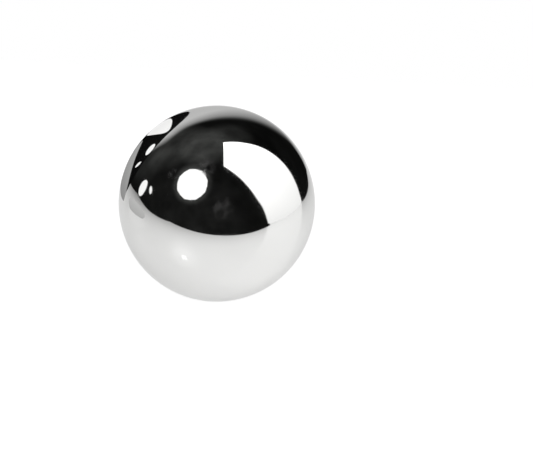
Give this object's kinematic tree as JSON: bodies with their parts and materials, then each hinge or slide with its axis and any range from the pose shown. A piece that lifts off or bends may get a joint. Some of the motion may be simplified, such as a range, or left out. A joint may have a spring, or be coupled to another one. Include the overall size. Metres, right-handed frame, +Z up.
{
  "type": "steel ball",
  "caption": "Solid steel ball with a mirror-polished, lapped surface. It rolls, or sits in a cup, ring or socket.",
  "frame": {"origin": "the ball's centre", "axes": "+Z up, with the seat at the lowest point on -Z; every line through the centre is an axis of symmetry"},
  "size_m": [0.0254, 0.0254, 0.0254],
  "materials": {
    "polished_steel": "hardened bearing steel, lapped and polished to a mirror"
  },
  "bodies": {
    "root": {"ball": "polished_steel"}
  },
  "joints": []
}
